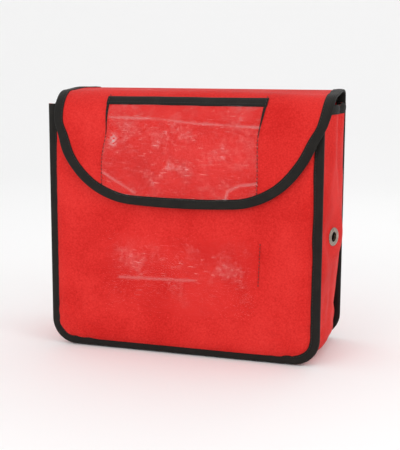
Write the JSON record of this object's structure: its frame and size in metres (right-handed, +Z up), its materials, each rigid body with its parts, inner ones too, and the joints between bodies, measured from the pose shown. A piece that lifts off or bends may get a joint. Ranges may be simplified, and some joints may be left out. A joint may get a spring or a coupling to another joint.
{
  "type": "fire blanket in a carrying bag",
  "caption": "Folded fire blanket in a soft upright carrying bag with a bulged gusset, bound seams, side eyelets and a fold-over flap with a clear card window.",
  "frame": {"origin": "middle of the base, midway between the front and back seams", "axes": "+Z up, +X to the right of someone facing the bag, front of the bag faces -Y"},
  "size_m": [0.3496, 0.1425, 0.3088],
  "materials": {
    "coated_fabric": "satin PVC-coated polyester with a fine weave",
    "binding_tape": "matte black woven binding tape",
    "clear_film": "clear flexible film, glossy and slightly creased",
    "seam_thread": "dark sewing thread",
    "nickel": "nickel-plated brass",
    "hook_and_loop": "black hook and loop tape",
    "wool": "grey felted wool",
    "webbing": "black woven webbing"
  },
  "bodies": {
    "bag": {"front_panel": "coated_fabric", "back_panel": "coated_fabric", "gusset_bottom": "coated_fabric", "gusset_right": "coated_fabric", "gusset_left": "coated_fabric", "seam_binding_front": "binding_tape", "seam_binding_back": "binding_tape", "mouth_binding_front": "binding_tape", "mouth_binding_right": "binding_tape", "mouth_binding_left": "binding_tape", "back_edge_binding_right": "binding_tape", "back_edge_binding_left": "binding_tape", "eyelet_right": "nickel", "eyelet_left": "nickel", "eyelet_washer_right": "nickel", "eyelet_washer_left": "nickel", "front_window_film": "clear_film", "front_window_seam": "seam_thread", "hook_strip": "hook_and_loop"},
    "flap_top": {"flap_top_panel": "coated_fabric", "flap_top_binding_right": "binding_tape", "flap_top_binding_left": "binding_tape"},
    "flap_front": {"flap_front_panel": "coated_fabric", "flap_front_binding": "binding_tape", "flap_window_film": "clear_film", "flap_window_tape": "binding_tape", "flap_window_seams": "seam_thread", "loop_strip": "hook_and_loop"},
    "blanket": {"folded_blanket": "wool", "pull_tape_right": "webbing", "pull_tape_left": "webbing"}
  },
  "joints": [
    {"name": "blanket_lift", "type": "slide", "parent": "bag", "child": "blanket", "axis": [0, 0, 1], "range_m": [0, 0.306]},
    {"name": "flap_back_hinge", "type": "hinge", "parent": "bag", "child": "flap_top", "pos_m": [0, 0.0682, 0.3088], "axis": [-1, 0, 0], "range_deg": [0, 250]},
    {"name": "flap_front_fold", "type": "hinge", "parent": "flap_top", "child": "flap_front", "pos_m": [0, -0.05368, 0.30414], "axis": [-1, 0, 0], "range_deg": [0, 110]}
  ],
  "couplings": [
    {"joint": "flap_back_hinge", "follows": "blanket_lift", "rad_per_m": 14.259}
  ]
}
